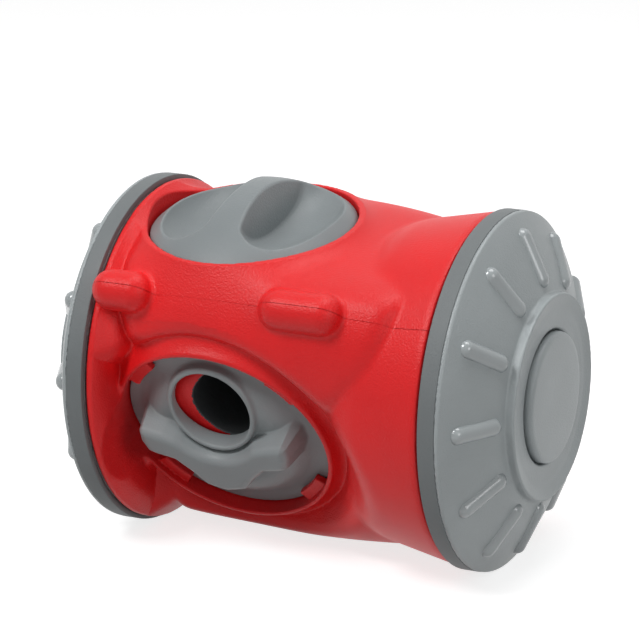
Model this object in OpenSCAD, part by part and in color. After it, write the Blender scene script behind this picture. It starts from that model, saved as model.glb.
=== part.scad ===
// Rolling treat dispenser: a two-part body between two free-running wheels, with a twist-off
// filling cap on top and a turning outlet dial in front. X runs along the axle, the front is -Y,
// and the floor is at z = 0.

/* [Wheels] */
// Radius of the rolling tread
wheel_r = 68; // [62:0.5:76]
// Width of the flat tread band
tread_w = 8; // [6:0.5:11]
// Thickness of the tyre ring
tyre_t = 2.6; // [1.8:0.1:3.6]
// Wall of the domed wheel
wheel_wall = 2.5; // [1.8:0.1:3.2]
// Distance from the wheel's inner edge to the crest of the hub ring
hub_reach = 28.5; // [26.5:0.5:33]
// Radius of the hub ring, to its crest
hub_ring_r = 31; // [29:0.5:34]
// Half width of the hub ring
hub_ring_t = 6.8; // [5.5:0.1:7.5]
// Radius of the disc in the middle of the hub
hub_cap_r = 23; // [20:0.5:24]
// Number of raised ribs on a wheel
rib_count = 12; // [8:1:14]
// Half width of a rib
rib_r = 3.4; // [2.6:0.1:4]
// Where a rib starts, from the axle
rib_in = 42; // [41:0.5:45]
// Length of a rib along the dome
rib_len = 18; // [12:0.5:20]
// Thickness of the ring that closes the wheel's inner side
back_t = 2; // [1.4:0.1:2.6]
// Gap between a wheel and the body
wheel_gap = 1; // [0.6:0.1:1.6]

/* [Axles] */
// Radius of the stub axle
axle_r = 6; // [5:0.25:7]
// Radius of the collar that the shells trap
axle_collar_r = 9; // [8:0.25:10.5]
// Wall of the bush
bush_wall = 3; // [2:0.25:4]
// Running clearance of the bush on the axle, radial
run_gap = 0.05; // [0.02:0.01:0.09]
// Wall of the wheel's hub tube
hub_tube_wall = 5.5; // [5:0.25:7]

/* [Body] */
// Length of the red body between its two end faces
body_len = 135; // [130:1:142]
// How far the end flange stays inside the tread radius
flange_step = 1.5; // [1:0.25:3]
// Wall of the shells
shell_t = 2.5; // [2:0.1:3]
// Radius of the core between the lobes
core_r = 50; // [48:0.25:52]
// Reach of the front lobe from the axle
front_reach = 71; // [70:0.25:72]
// Reach of the rear lobe from the axle
rear_reach = 68.5; // [67.5:0.25:69.5]
// Reach of the bottom lobe from the axle
bottom_reach = 65.5; // [65:0.25:66.25]
// How much a lobe thins towards its ends
lobe_taper = 3; // [1:0.25:4]
// Place of the cap and the dial along the axle
pod_x = -23; // [-23.5:0.25:-20]
// Angle of the parting plane above the front
split_angle = 33; // [31:0.5:34]
// Radius of the rounded screw bumps
bump_r = 7; // [6:0.25:8]
// Length of a screw bump
bump_len = 33; // [29:0.5:35]
// Distance of a bump from the middle of the pod
bump_reach = 41.5; // [40:0.5:43]

/* [Filling cap] */
// Radius of the cap
cap_r = 39.6; // [37:0.2:40]
// Angle of the cap above the front
cap_angle = 80; // [76:1:84]
// How far the cap is moved from the axle's line, towards the back
cap_shift = -4; // [-5:0.25:-2]
// Height of the cap's edge above the axle
cap_h = 58.5; // [57.5:0.25:60]
// How far the cap's crown stands above its edge
cap_crown = 15; // [12:0.5:18]
// Radius of the two finger hollows
scoop_r = 21; // [18:0.5:22]
// Distance of a finger hollow from the cap's middle
scoop_reach = 24.5; // [23:0.5:27]
// Radius of the neck hole
neck_r = 34; // [31:0.25:34.5]
// Number of locking lugs
lug_count = 3; // [2:1:4]
// Width of a lug, as an angle
lug_angle = 22; // [14:1:26]

/* [Outlet dial] */
// Radius of the recess that holds the dial
recess_r = 42; // [41.5:0.25:42.25]
// Angle of the dial above the front
dial_angle = -31; // [-34:1:-28]
// How far the dial is moved from the axle's line, upwards
dial_shift = 3.5; // [2:0.25:4.5]
// Height of the recess's lip above the axle
lip_h = 44.5; // [43.5:0.25:46]
// Radius of the outlet hole
hole_r = 16; // [13:0.25:16.5]
// Distance of the outlet hole from the dial's middle
hole_reach = 17; // [16.5:0.25:17.25]
// Thickness of the dial's flange
dial_t = 2.7; // [2:0.1:3.2]
// Thickness of the port plate
port_t = 3.4; // [2.8:0.1:4]
// How far the fixed port is turned from the hole at rest
port_turn = 24; // [10:1:40]
// Length of the chute behind the port plate
chute_len = 15; // [8:1:18]
// How far a retaining tab reaches in
tab_reach = 4.5; // [3:0.25:5.5]

/* [Keel weight] */
// Length of the weight
keel_len = 88; // [60:1:90]
// Width of the weight
keel_w = 21; // [16:0.5:22]
// Thickness of the weight
keel_t = 12.5; // [8:0.5:13]
// Turn of the weight towards the back
keel_angle = 24; // [18:1:26]

/* [Hidden] */
$fn = 180;

// Colours
red = [0.85, 0.12, 0.12];
grey = [0.50, 0.53, 0.54];
dark = [0.26, 0.28, 0.29];
steel = [0.70, 0.71, 0.72];

// Small shared values
slack = 0.3;
fit_gap = 0.15;
cut = 1;
far = 200;

// Places along the axle, counted from the middle
flange_x = body_len / 2;
wheel_x = flange_x + wheel_gap;
band_x = wheel_x + tread_w;
crest_x = wheel_x + hub_reach;
hub_face_x = crest_x - 2.2;
hub_cap_t = 2;
hub_web_x = hub_face_x - hub_cap_t - 3;

// Body
flange_r = wheel_r - flange_step;
flare_rise = 6.5;
flare_drop = 16;
flare_waist_r = flange_r - flare_rise;
flare_foot_r = flare_waist_r - flare_drop;
flare_right_x = 41;
flare_right_run = 16;
flare_left_x = 60.5;
flare_left_run = 3;
flare_rim = 2.5;
lobe_x0 = -63;
lobe_x1 = 56;
lobe_flat_x0 = -25;
lobe_flat_x1 = 15;
// Angle, radius and reach of the front, rear and bottom lobe
lobe_list = [[40, 32, front_reach], [140, 58, rear_reach], [270, 36, bottom_reach]];
end_wall_left = -flange_x + 3 + shell_t;
end_wall_right = lobe_x1 - 5;
hollow_left_r = flange_r - 4;
hollow_right_r = flange_r - 6;
end_rib_t = 2;
collar_t = 2.4;
boss_r = axle_collar_r + 4;
boss_x = flange_x - 1;
boss_len = 21;
boss_in = boss_x - boss_len;

// Axle
axle_inset = 3;
axle_in = boss_in + axle_inset;
collar_w = 3;
collar_inset = 9;
collar_x = boss_in + collar_inset;
axle_out = crest_x - 10.5;
washer_r = axle_r + 5;
washer_t = 1.5;
axle_screw_r = 2.5;
axle_screw_len = 12;
axle_head_r = 4.6;
axle_head_h = 3;
bush_r = axle_r + run_gap + bush_wall;
hub_tube_r = bush_r + hub_tube_wall;
bush_x0 = boss_x + slack + 1;
bush_x1 = axle_out - slack;

// Wheel dome: the sphere through the tread's outer edge and the foot of the hub ring
tyre_r = wheel_r - tyre_t;
dome_edge_r = tyre_r - 0.4;
dome_foot_r = hub_ring_r + hub_ring_t;
dome_foot_x = crest_x - hub_ring_t + 0.4;
dome_c = (pow(dome_edge_r, 2) + pow(band_x, 2) - pow(dome_foot_r, 2) - pow(dome_foot_x, 2))
    / (2 * (band_x - dome_foot_x));
dome_r = sqrt(pow(dome_edge_r, 2) + pow(band_x - dome_c, 2));
rib_sink = rib_r - 2.2;
back_r = tyre_r - wheel_wall - fit_gap;
back_ledge = 2.5;
back_x = wheel_x + 1.2;
back_hole = hub_tube_r + fit_gap;

// Screws
screw_r = 1.2;
screw_head_r = 2.2;
screw_head_h = 1.8;
shell_screw_len = 6.5;
shell_head_z = -2.6;
bump_front_y = 3 - front_reach;
bump_back_y = core_r + 8;
screw_out = 3;
screw_xs = [pod_x - bump_reach + 8.5, pod_x + bump_reach];
screw_well = 9;
port_screw_len = 7;
port_screw_reach = recess_r - 4;
port_boss_r = screw_r + 2.2;
weight_screw_r = 2;
weight_head_r = 3.8;
weight_head_h = 2.6;
weight_screw_len = keel_t + 7;

// Filling cap, along its own axis from the axle
cap_gap = 0.4;
cap_edge_t = 2.2;
ledge_z = cap_h - 9;
ledge_t = 3.2;
seal_t = 2;
cap_under = ledge_z + slack + seal_t;
skirt_r = neck_r - 0.5;
skirt_t = 3;
lug_r = skirt_r + 2.8;
lug_h = 3.4;
lug_z = ledge_z - ledge_t - slack - lug_h;
lug_play = 3;
cap_sphere_r = (pow(cap_r, 2) + pow(cap_crown, 2)) / (2 * cap_crown);
cap_sphere_z = cap_h + cap_crown - cap_sphere_r;
scoop_z = cap_under + 3 + scoop_r;
grip_core_w = 5;
grip_core_len = 46;
grip_core_h = cap_crown - 6;
cap_collar_r = cap_r + cap_gap + 1.6;
cap_collar_foot = 18;
cap_collar_rise = 18;
cap_collar_z = cap_h - cap_collar_rise;

// Outlet dial, along its own axis from the axle
port_z = lip_h - 12.4;
port_top = port_z + port_t;
dial_z = port_top + slack;
dial_top = dial_z + dial_t;
dial_r = recess_r - 0.4;
cone_h = 8.5;
cone_r0 = recess_r - 6.5;
cone_r1 = 26;
rim_r = hole_r + 2.2;
rim_h = 11;
wing_h = 13.5;
wing_span = 33;
wing_chamfer = 3;
wing_top = -1;
wing_tip = -3;
wing_hip = -10;
wing_foot = -18;
wing_foot_x = 12;
tab_z = dial_top + slack;
tab_h = 3;
tab_angle = 20;
tab_angles = [42, 138, 222, 318];
ledge_in = hole_reach + rim_r + slack;
ledge_h = 2.4;
lip_out = 5;
lip_t = 2.2;
lip_trim = 0.6;
dial_collar_foot = 9;
dial_collar_z = lip_h - 11;

// Keel weight
keel_x = -10;
keel_out = 52;
keel_screw_x = keel_len / 2 - 12;
keel_boss_r = 5.5;

// Placing helpers
module on_axle() {
    translate([0, 0, wheel_r]) children();
}

module cap_frame() {
    translate([pod_x, 0, 0]) rotate([90 - cap_angle, 0, 0]) translate([0, cap_shift, 0]) children();
}

module dial_frame() {
    translate([pod_x, 0, 0]) rotate([90 - dial_angle, 0, 0]) translate([0, dial_shift, 0]) children();
}

module split_frame() {
    rotate([-split_angle, 0, 0]) children();
}

module keel_frame() {
    translate([keel_x, 0, 0]) rotate([keel_angle, 0, 0]) children();
}

// Turns a profile of (radius, place along the axle) about the axle
module turned() {
    rotate([0, 90, 0]) rotate_extrude() children();
}

module ring(r_out, r_in, h) {
    difference() {
        cylinder(h = h, r = r_out);
        translate([0, 0, -cut]) cylinder(h = h + 2 * cut, r = r_in);
    }
}

module axle_ring(x0, x1, r_out, r_in) {
    translate([x0, 0, 0]) rotate([0, 90, 0]) ring(r_out, r_in, x1 - x0);
}

module axle_rod(x0, x1, r) {
    translate([x0, 0, 0]) rotate([0, 90, 0]) cylinder(h = x1 - x0, r = r);
}

// Wedge of a ring, centred on the local Y axis
module sector(r_out, r_in, h, angle) {
    intersection() {
        ring(r_out, r_in, h);
        rotate([0, 0, 90 - angle / 2]) translate([0, 0, -cut]) rotate_extrude(angle = angle)
            square([r_out + cut, h + 2 * cut]);
    }
}

// Capsule along X, turned from a half stadium
module capsule(len, r) {
    rotate([0, 90, 0]) rotate_extrude() intersection() {
        union() {
            translate([0, len / 2 - r]) circle(r = r);
            translate([0, r - len / 2]) circle(r = r);
            square([2 * r, len - 2 * r], center = true);
        }
        translate([0, -len]) square([r + cut, 2 * len]);
    }
}

// Three lobes round a core, along the axle, each thinner towards its ends and shrunk by an inset
module lobed_bar(inset, x0, x1) {
    axle_rod(x0, x1, core_r - inset);
    for (lobe = lobe_list) {
        r = lobe[2] - inset;
        place = (lobe[2] - lobe[1]) * [-sin(lobe[0]), -cos(lobe[0])];
        intersection() {
            translate([x0, 0, 0]) rotate([0, 90, 0]) linear_extrude(x1 - x0)
                translate(place) circle(r = lobe[1] - inset);
            turned() polygon([
                [0, x0 - cut], [r - lobe_taper, x0 - cut], [r + cut, lobe_flat_x0],
                [r + cut, lobe_flat_x1], [r - lobe_taper, x1 + cut], [0, x1 + cut]
            ]);
        }
    }
}

// Conical end of the body, built on the +X side
module flare(waist_x, run) {
    turned() polygon([
        [0, waist_x - run], [flare_foot_r, waist_x - run], [flare_waist_r, waist_x],
        [flange_r, flange_x - flare_rim], [flange_r, flange_x], [0, flange_x]
    ]);
}

module flares() {
    flare(flare_right_x, flare_right_run);
    mirror([1, 0, 0]) flare(flare_left_x, flare_left_run);
}

module between_flanges() {
    intersection() {
        children();
        translate([-flange_x, -far / 2, -far / 2]) cube([body_len, far, far]);
    }
}

// Places on the parting plane, along its front and its back edge
module on_split(xs, out) {
    for (x = xs, y = [bump_front_y - out, bump_back_y + out])
        split_frame() translate([x, y, 0]) children();
}

module body_form() {
    between_flanges() union() {
        lobed_bar(0, lobe_x0, lobe_x1);
        flares();
        cap_frame() translate([0, 0, cap_collar_z])
            cylinder(h = cap_h - cap_collar_z, r1 = cap_collar_r + cap_collar_foot, r2 = cap_collar_r);
        dial_frame() translate([0, 0, dial_collar_z])
            cylinder(h = lip_h - dial_collar_z, r1 = recess_r + dial_collar_foot, r2 = recess_r + lip_t);
        on_split([pod_x - bump_reach, pod_x + bump_reach], 0) capsule(bump_len, bump_r);
    }
}

// Solid that the dial's recess is cut from
module dial_cup() {
    dial_frame() {
        translate([0, 0, port_z - ledge_h]) cylinder(h = lip_h, r = recess_r + collar_t);
        translate([0, 0, lip_h - shell_t]) cylinder(h = far, r = recess_r + lip_out + shell_t);
    }
}

// What stands inside the chamber
module chamber_fittings() {
    cap_frame() translate([0, 0, ledge_z - ledge_t])
        cylinder(h = cap_h, r = cap_r + cap_gap + collar_t);
    dial_cup();
    axle_rod(boss_in, boss_x, boss_r);
    axle_rod(-boss_x, -boss_in, boss_r);
    for (x = [-keel_screw_x, keel_screw_x])
        keel_frame() translate([x, 0, -far / 2]) cylinder(h = far / 2 - keel_out, r = keel_boss_r);
    for (i = [0 : 2])
        dial_frame() rotate([0, 0, 120 * i]) translate([0, port_screw_reach, port_z - port_screw_len])
            cylinder(h = port_screw_len, r = port_boss_r);
}

// Holes and seats for the two axles
module axle_seats() {
    for (side = [0, 1]) mirror([side, 0, 0]) {
        axle_rod(axle_in, flange_x + cut, axle_r);
        axle_rod(collar_x - slack, collar_x + collar_w + slack, axle_collar_r + slack);
    }
}

// Hollow in an end face, with the axle boss and the ribs left standing, built on the +X side
module end_hollow(wall_x, r) {
    difference() {
        axle_rod(wall_x, far, r);
        axle_rod(0, boss_x, boss_r);
        for (a = [22.5 : 45 : 337.5])
            rotate([a, 0, 0]) translate([0, -end_rib_t / 2, 0]) cube([boss_x, end_rib_t, flange_r]);
    }
}

module end_hollows() {
    end_hollow(end_wall_right + shell_t, hollow_right_r);
    difference() {
        mirror([1, 0, 0]) end_hollow(shell_t - end_wall_left, hollow_left_r);
        dial_cup();
    }
}

module cap_seat() {
    cap_frame() {
        translate([0, 0, ledge_z]) cylinder(h = far, r = cap_r + cap_gap);
        translate([0, 0, ledge_z - ledge_t - cut]) cylinder(h = far, r = neck_r);
        translate([0, 0, lug_z - slack]) cylinder(h = lug_h + 2 * slack, r = lug_r + slack);
        for (i = [0 : lug_count - 1]) rotate([0, 0, i * 360 / lug_count])
            translate([0, 0, ledge_z - ledge_t - cut])
                sector(lug_r + slack, neck_r - cut, ledge_t + 2 * cut, lug_angle + 2 * lug_play);
    }
}

module dial_seat() {
    dial_frame() {
        translate([0, 0, port_z]) cylinder(h = far, r = recess_r);
        translate([0, 0, port_z - ledge_h - cut]) cylinder(h = far, r = ledge_in);
        intersection() {
            translate([0, 0, lip_h]) cylinder(h = far, r = recess_r + lip_out);
            translate([-recess_r - lip_trim, -far, 0]) cube(2 * far);
        }
        for (i = [0 : 2]) rotate([0, 0, 120 * i])
            translate([0, port_screw_reach, port_z - port_screw_len + cut]) cylinder(h = far, r = screw_r);
    }
}

module retaining_tabs() {
    for (a = tab_angles)
        dial_frame() rotate([0, 0, a - 90]) translate([0, 0, tab_z])
            sector(recess_r + collar_t / 2, recess_r - tab_reach, tab_h, tab_angle);
}

module shell_screw_holes() {
    on_split(screw_xs, screw_out) translate([0, 0, shell_head_z]) {
        cylinder(h = shell_screw_len + cut, r = screw_r);
        translate([0, 0, -screw_well]) cylinder(h = screw_well, r = screw_head_r + slack);
    }
}

module keel_screw_holes() {
    for (x = [-keel_screw_x, keel_screw_x])
        keel_frame() translate([x, 0, keel_t - keel_out - weight_screw_len])
            cylinder(h = far / 2, r = weight_screw_r);
}

module body_shell() {
    difference() {
        body_form();
        difference() {
            lobed_bar(shell_t, end_wall_left, end_wall_right);
            chamber_fittings();
        }
        end_hollows();
        axle_seats();
        cap_seat();
        dial_seat();
        shell_screw_holes();
        keel_screw_holes();
    }
    retaining_tabs();
}

module upper_shell() {
    color(red) on_axle() intersection() {
        body_shell();
        split_frame() translate([-far / 2, -far / 2, 0]) cube(far);
    }
}

module lower_shell() {
    color(red) on_axle() intersection() {
        body_shell();
        split_frame() translate([-far / 2, -far / 2, -far]) cube(far);
    }
}

module port_hole() {
    rotate([0, 0, -port_turn]) translate([0, hole_reach, 0]) children();
}

module port_plate() {
    color(red) on_axle() dial_frame() difference() {
        union() {
            translate([0, 0, port_z]) cylinder(h = port_t, r = recess_r - slack);
            port_hole() translate([0, 0, port_z - chute_len])
                cylinder(h = chute_len + port_t / 2, r = rim_r);
        }
        port_hole() translate([0, 0, port_z - chute_len - cut]) cylinder(h = far, r = hole_r);
        for (i = [0 : 2]) rotate([0, 0, 120 * i]) translate([0, port_screw_reach, 0]) {
            translate([0, 0, port_z - cut]) cylinder(h = far, r = screw_r);
            translate([0, 0, port_top - screw_head_h]) cylinder(h = far, r = screw_head_r);
        }
    }
}

module port_screws() {
    color(steel) for (i = [0 : 2])
        on_axle() dial_frame() rotate([0, 0, 120 * i]) translate([0, port_screw_reach, 0]) {
            translate([0, 0, port_z - port_screw_len + 2 * cut])
                cylinder(h = port_screw_len + port_t - 2 * cut - screw_head_h, r = screw_r);
            translate([0, 0, port_top - screw_head_h]) cylinder(h = screw_head_h, r = screw_head_r);
        }
}

module wing_outline() {
    difference() {
        polygon([
            [-wing_span, wing_tip], [wing_chamfer - wing_span, wing_top], [wing_span - wing_chamfer, wing_top],
            [wing_span, wing_tip], [wing_span, wing_hip], [wing_foot_x, wing_foot],
            [-wing_foot_x, wing_foot], [-wing_span, wing_hip]
        ]);
        translate([0, hole_reach]) circle(r = rim_r);
    }
}

module outlet_dial() {
    color(grey) on_axle() dial_frame() difference() {
        union() {
            translate([0, 0, dial_z]) cylinder(h = dial_t, r = dial_r);
            translate([0, 0, dial_top]) cylinder(h = cone_h, r1 = cone_r0, r2 = cone_r1);
            translate([0, hole_reach, dial_top]) cylinder(h = rim_h, r = rim_r);
            translate([0, 0, dial_top]) linear_extrude(wing_h) wing_outline();
        }
        translate([0, hole_reach, dial_z - cut]) cylinder(h = far, r = hole_r);
    }
}

module fill_cap() {
    color(grey) on_axle() cap_frame() {
        difference() {
            intersection() {
                translate([0, 0, cap_sphere_z]) rotate([90, 0, 0]) sphere(r = cap_sphere_r);
                translate([0, 0, cap_under]) cylinder(h = far, r = cap_r);
            }
            for (side = [-1, 1])
                translate([side * scoop_reach, 0, scoop_z]) rotate([90, 0, 0]) sphere(r = scoop_r);
            translate([-grip_core_w / 2, -grip_core_len / 2, cap_under - cut])
                cube([grip_core_w, grip_core_len, grip_core_h]);
        }
        translate([0, 0, lug_z]) ring(skirt_r, skirt_r - skirt_t, cap_under + cut - lug_z);
        for (i = [0 : lug_count - 1]) rotate([0, 0, i * 360 / lug_count]) translate([0, 0, lug_z])
            sector(lug_r, skirt_r - cut, lug_h, lug_angle);
    }
}

module cap_seal() {
    color(dark) on_axle() cap_frame() translate([0, 0, cap_under - seal_t])
        ring(cap_r - 0.8, neck_r + 0.2, seal_t);
}

// Running gear of one side, built on the +X side.
// The dome is cut from a ball on the axle, with its seam turned away
module dome_ball(r) {
    translate([dome_c, 0, 0]) rotate([0, 0, 180]) sphere(r = r);
}

module wheel_rib() {
    tilt = asin((rib_in + rib_len / 2) / dome_r);
    translate([dome_c, 0, 0]) rotate([0, -tilt, 0]) translate([dome_r - rib_sink, 0, 0])
        rotate([0, 90, 0]) capsule(rib_len, rib_r);
}

module wheel() {
    color(grey) difference() {
        union() {
            intersection() {
                dome_ball(dome_r);
                axle_rod(band_x, far, tyre_r);
            }
            axle_rod(wheel_x, band_x, tyre_r);
            axle_rod(boss_x + slack, wheel_x + cut, hub_tube_r);
            turned() translate([hub_ring_r, crest_x - hub_ring_t]) circle(r = hub_ring_t);
            for (i = [0 : rib_count - 1]) rotate([i * 360 / rib_count, 0, 0]) wheel_rib();
        }
        difference() {
            union() {
                intersection() {
                    dome_ball(dome_r - wheel_wall);
                    axle_rod(back_x, far, tyre_r - wheel_wall);
                }
                axle_rod(wheel_x - cut, back_x + cut, tyre_r - wheel_wall);
            }
            axle_rod(boss_x, far, hub_tube_r);
            axle_rod(hub_web_x, far, hub_ring_r);
            axle_ring(back_x + back_t, band_x + 2, tyre_r, back_r - back_ledge);
        }
        axle_rod(0, far, bush_r);
        axle_rod(axle_out, far, washer_r + 1);
        axle_rod(hub_face_x - hub_cap_t, far, hub_cap_r + fit_gap);
    }
}

module tyre() {
    color(dark) axle_ring(wheel_x, band_x, wheel_r, tyre_r);
}

module wheel_back() {
    color(dark) axle_ring(back_x, back_x + back_t, back_r, back_hole);
}

module hub_cap() {
    color(grey) axle_rod(hub_face_x - hub_cap_t, hub_face_x, hub_cap_r);
}

module axle() {
    color(steel) difference() {
        union() {
            axle_rod(axle_in, axle_out, axle_r);
            axle_rod(collar_x, collar_x + collar_w, axle_collar_r);
        }
        axle_rod(axle_out - axle_screw_len, far, axle_screw_r);
    }
}

module bush() {
    color(dark) axle_ring(bush_x0, bush_x1, bush_r, axle_r + run_gap);
}

module washer() {
    color(steel) axle_ring(axle_out, axle_out + washer_t, washer_r, axle_screw_r + slack);
}

module axle_screw() {
    color(steel) {
        axle_rod(axle_out - axle_screw_len + cut, axle_out + washer_t, axle_screw_r);
        axle_rod(axle_out + washer_t, axle_out + washer_t + axle_head_h, axle_head_r);
    }
}

module shell_screws() {
    color(steel) on_axle() on_split(screw_xs, screw_out) translate([0, 0, shell_head_z]) {
        cylinder(h = shell_screw_len, r = screw_r);
        translate([0, 0, -screw_head_h]) cylinder(h = screw_head_h, r = screw_head_r);
    }
}

module keel_weight() {
    color(steel) on_axle() keel_frame() difference() {
        translate([-keel_len / 2, -keel_w / 2, -keel_out]) cube([keel_len, keel_w, keel_t]);
        for (x = [-keel_screw_x, keel_screw_x])
            translate([x, 0, -far]) cylinder(h = 2 * far, r = weight_screw_r);
    }
}

module weight_screws() {
    color(steel) for (x = [-keel_screw_x, keel_screw_x])
        on_axle() keel_frame() translate([x, 0, keel_t - keel_out]) {
            translate([0, 0, cut - weight_screw_len]) cylinder(h = weight_screw_len - cut, r = weight_screw_r);
            cylinder(h = weight_head_h, r = weight_head_r);
        }
}

module left() {
    on_axle() mirror([1, 0, 0]) children();
}

module right() {
    on_axle() children();
}

upper_shell();
lower_shell();
port_plate();
outlet_dial();
fill_cap();
cap_seal();
left() wheel();  // left_wheel
right() wheel();  // right_wheel
left() tyre();  // left_tyre
right() tyre();  // right_tyre
left() wheel_back();  // left_wheel_back
right() wheel_back();  // right_wheel_back
left() hub_cap();  // left_hub_cap
right() hub_cap();  // right_hub_cap
left() axle();  // left_axle
right() axle();  // right_axle
left() bush();  // left_bush
right() bush();  // right_bush
left() washer();  // left_washer
right() washer();  // right_washer
left() axle_screw();  // left_axle_screw
right() axle_screw();  // right_axle_screw
shell_screws();
port_screws();
keel_weight();
weight_screws();
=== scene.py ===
# Rolling treat dispenser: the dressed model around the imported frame.
# Shapes are written as distance fields in millimetres, in a frame whose origin is on the axle midway
# between the wheels, with X along the axle, -Y to the front and Z up.
import math

import bmesh
import bpy
import numpy as np
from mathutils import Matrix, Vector


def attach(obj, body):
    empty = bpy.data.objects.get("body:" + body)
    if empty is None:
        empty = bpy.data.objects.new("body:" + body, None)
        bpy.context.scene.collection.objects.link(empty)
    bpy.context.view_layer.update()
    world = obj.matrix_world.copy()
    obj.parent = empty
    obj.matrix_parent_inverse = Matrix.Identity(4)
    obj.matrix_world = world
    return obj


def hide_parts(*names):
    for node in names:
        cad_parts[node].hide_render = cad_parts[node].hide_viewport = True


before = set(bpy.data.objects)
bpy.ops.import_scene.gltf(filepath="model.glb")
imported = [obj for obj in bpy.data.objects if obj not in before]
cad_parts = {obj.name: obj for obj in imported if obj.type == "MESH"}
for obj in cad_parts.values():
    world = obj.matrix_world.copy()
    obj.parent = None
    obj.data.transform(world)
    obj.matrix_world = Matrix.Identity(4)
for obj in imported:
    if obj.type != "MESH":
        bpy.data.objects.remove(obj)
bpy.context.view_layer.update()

MM = 0.001
WHEEL_R = 68.0
QUICK = 1.0

# Voxel sizes, and how the fields are sampled and their surfaces settled
SHELL_STEP = 0.8 * QUICK
FINE_STEP = 0.5 * QUICK
WHEEL_STEP = 0.65 * QUICK
BLOCK = 8
NEAR = 1.25
CHUNK = 300
NEWTON_ROUNDS = 3
NEWTON_EPS = 0.04
NEWTON_SHARE = 0.6
NORMAL_EPS = 0.15
FAR = 1e9

# Rounding of plain edges
EDGE = 0.6
SHARP = 0.5

# Body
FLANGE_X = 67.5
FLANGE_R = 66.5
FLANGE_ROUND = 1.2
SHELL_T = 2.5
CORE_R = 50.0
POD_X = -23.0
# Angle above the front, section radius and reach of the front, rear and bottom lobe
LOBES = ((44.0, 42.0, 71.5), (140.0, 58.0, 68.5), (270.0, 40.0, 65.5))
REAR = 1
LOBE_MID = -3.5
LOBE_FALL = 0.0024
LOBE_FALL_SHARE = 0.45
LOBE_BLEND = 5.0
# Round outline of the front and bottom lobe, laid out on a drum of this radius
LOBE_DRUM_R = 60.0
LOBE_PLAN_R = 58.0
LOBE_PLAN_ROUND = 9.0
# Bell from a flange to the body: start of its slope, slope, start of its bend and bend
FLARE_RIGHT = (65.0, 0.2, 42.0, 0.02)
FLARE_LEFT = (65.0, 0.9, 60.0, 0.12)
FLARE_BLEND = 1.6
# The lobes fall away from the cap's edge, and a dish keeps them below the lip of the dial's recess
CAP_FALL = 0.12
DISH_DROP = 5.5
DISH_R = 48.0
DISH_RISE = 1.4
DISH_SCALE = 0.58
DISH_LEFT = 62.3
LIMIT_ROUND = 5.0
# Parting plane, and the bumps on it: place along the axle and half the straight length
SPLIT = math.radians(33.0)
SEAM = 0.11
BUMPS = ((-55.0, 4.2), (18.5, 8.5))
BUMP_R = 7.7
BUMP_DROP = 0.2
BUMP_FRONT = 70.0
BUMP_BACK = 59.0
BUMP_BLEND = 2.2
# Screw wells in the rear bumps
WELL_BACK = 61.0
WELL_R = 2.5
WELL_UP = (-11.6, -2.6)
# Inside of the body: chamber, axle bosses, and the ribbed hollows behind the wheels
CHAMBER_X = (-62.0, 51.0)
CHAMBER_ROUND = 2.0
BOSS_R = 13.0
BOSS_X = 45.5
AXLE_HOLE_R = 6.1
END_RIBS = 4
END_RIB_HALF = 1.0
END_RIB_X = 66.5
RIGHT_END = (60.5, 53.5)
LEFT_END = (62.5, 64.5)

# Filling cap
CAP_ANGLE = 80.0
CAP_SHIFT = -4.0
CAP_R = 39.6
CAP_H = 58.5
CAP_CROWN = 14.9
CAP_GAP = 0.4
CAP_COLLAR_OUT = 1.5
CAP_COLLAR_SLOPE = 0.4
CAP_COLLAR_SCALE = 0.92
CAP_COLLAR_Z = 44.0
CAP_COLLAR_BLEND = 9.0
LEDGE_Z = CAP_H - 9.0
LEDGE_T = 3.2
NECK_R = 34.0
NECK_T = 2.8
CAP_UNDER = LEDGE_Z + 2.3
SKIRT_R = 33.5
SKIRT_T = 3.0
LUG_R = 36.3
LUG_H = 3.4
LUG_PLAY = 0.3
LUG_Z = LEDGE_Z - LEDGE_T - LUG_PLAY - LUG_H
LUG_ANGLES = (90.0, 210.0, 330.0)
LUG_WIDTH = 22.0
NOTCH_IN = 32.0
NOTCH_WIDTH = 28.0
# Finger hollows: middle and half sizes, and the grip between them with its swell towards the foot
SCOOP_AT = (18.0, 1.0, 10.5)
SCOOP_HALF = (17.0, 33.0, 14.6)
GRIP_HALF = 5.2
GRIP_SWELL = 3.4
GRIP_SCALE = 0.8

# Outlet dial
DIAL_ANGLE = -31.0
DIAL_SHIFT = 3.5
RECESS_R = 42.0
LIP_H = 44.5
DIAL_COLLAR_OUT = 1.6
DIAL_COLLAR_SLOPE = 0.5
DIAL_COLLAR_WIDEST = 7.0
DIAL_COLLAR_SCALE = 0.89
DIAL_COLLAR_Z = 20.0
DIAL_COLLAR_BLEND = 2.5
CUP_T = 2.4
CUP_LIP_OUT = 7.5
CUP_LIP_T = SHELL_T + 3.0
HOLE_R = 16.0
HOLE_REACH = 17.0
RIM_R = 18.2
RIM_H = 8.7
RIM_TILT = 0.2
RIM_ROUND = 1.6
PORT_Z = LIP_H - 12.4
DIAL_Z = PORT_Z + 3.7
DIAL_TOP = DIAL_Z + 2.7
DIAL_GAP = 0.4
DIAL_ROOT = DIAL_Z + 1.0
DIAL_WALL = 2.4
CONE_R = 35.5
CONE_H = 7.2
CONE_SLOPE = 1.2
CONE_ROUND = 3.0
# Half outline of the wing handle, from the middle of its lower edge round to its upper edge
WING = (
    (0.0, -21.0), (8.5, -18.8), (13.5, -12.5), (19.0, -7.0), (26.5, -5.2), (29.8, -3.6),
    (31.6, 2.0), (31.2, 7.2), (29.4, 9.2), (21.0, 7.0), (14.0, 4.5),
)
WING_H = 16.0
WING_LEAN = 0.2
WING_LEAN_Z = WING_H - 5.0
WING_ROUND = 3.0
WING_RIM_GAP = 1.1
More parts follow.
